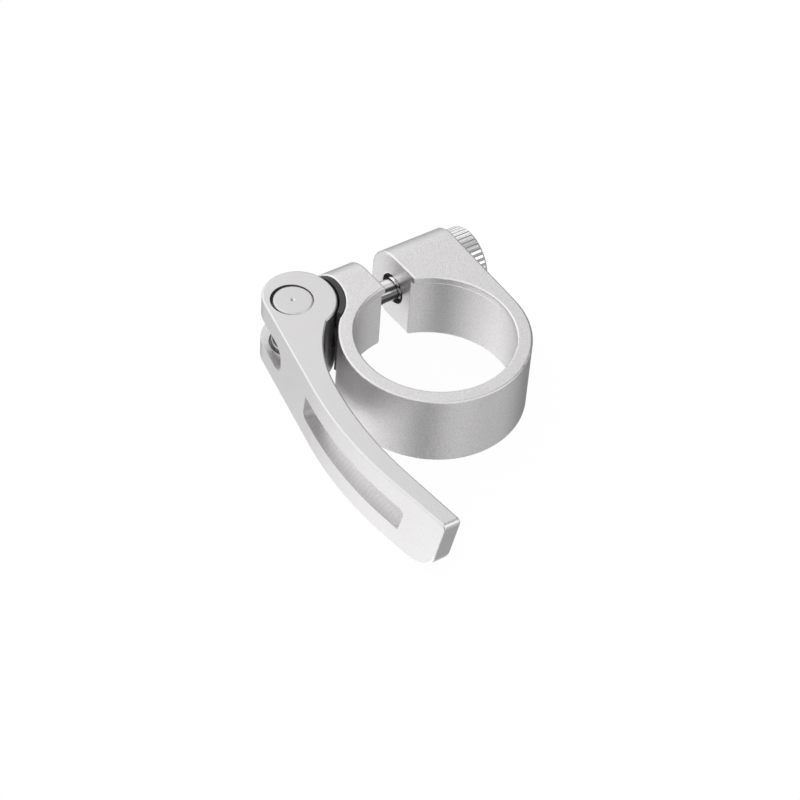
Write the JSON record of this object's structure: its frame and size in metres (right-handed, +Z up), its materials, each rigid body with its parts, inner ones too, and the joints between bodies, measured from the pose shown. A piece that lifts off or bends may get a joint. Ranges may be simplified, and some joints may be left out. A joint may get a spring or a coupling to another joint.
{
  "type": "quick-release seatpost clamp",
  "caption": "Split aluminium collar that squeezes a bicycle seat tube round its seatpost, closed by a cam lever on a cross bolt with a knurled adjusting nut.",
  "frame": {"origin": "centre of the seat tube bore, at half the collar's height, on the level of the bolt", "axes": "+Z up the seat tube, towards the lip; +X along the bolt, towards the adjusting nut; +Y from the bore towards the ends of the ears; the closed lever points along -Y"},
  "size_m": [0.0503, 0.0686, 0.0152],
  "materials": {
    "collar_metal": "bead-blasted and clear anodised, satin silver",
    "lever_metal": "bead-blasted and clear anodised, satin silver",
    "pin_metal": "turned and clear anodised, satin silver",
    "nut_metal": "turned and knurled, bright silver",
    "bolt_steel": "bright rolled steel",
    "washer_plastic": "black moulded plastic"
  },
  "bodies": {
    "collar": {"collar": "collar_metal", "cam_washer": "washer_plastic"},
    "nut": {"adjusting_nut": "nut_metal"},
    "bolt": {"clamp_bolt": "bolt_steel", "pivot_pin": "pin_metal"},
    "lever": {"lever": "lever_metal"}
  },
  "joints": [
    {"name": "bolt_travel", "type": "slide", "parent": "collar", "child": "bolt", "axis": [1, 0, 0], "range_m": [-0.004, 0]},
    {"name": "nut_turn", "type": "hinge", "parent": "collar", "child": "nut", "pos_m": [0.0179, 0.0206, 0], "axis": [1, 0, 0], "range_deg": [0, 1800]},
    {"name": "lever_hinge", "type": "hinge", "parent": "bolt", "child": "lever", "pos_m": [-0.01805, 0.0206, 0], "axis": [0, 0, -1], "range_deg": [0, 165]}
  ],
  "couplings": [
    {"joint": "nut_turn", "follows": "bolt_travel", "rad_per_m": -7854}
  ]
}
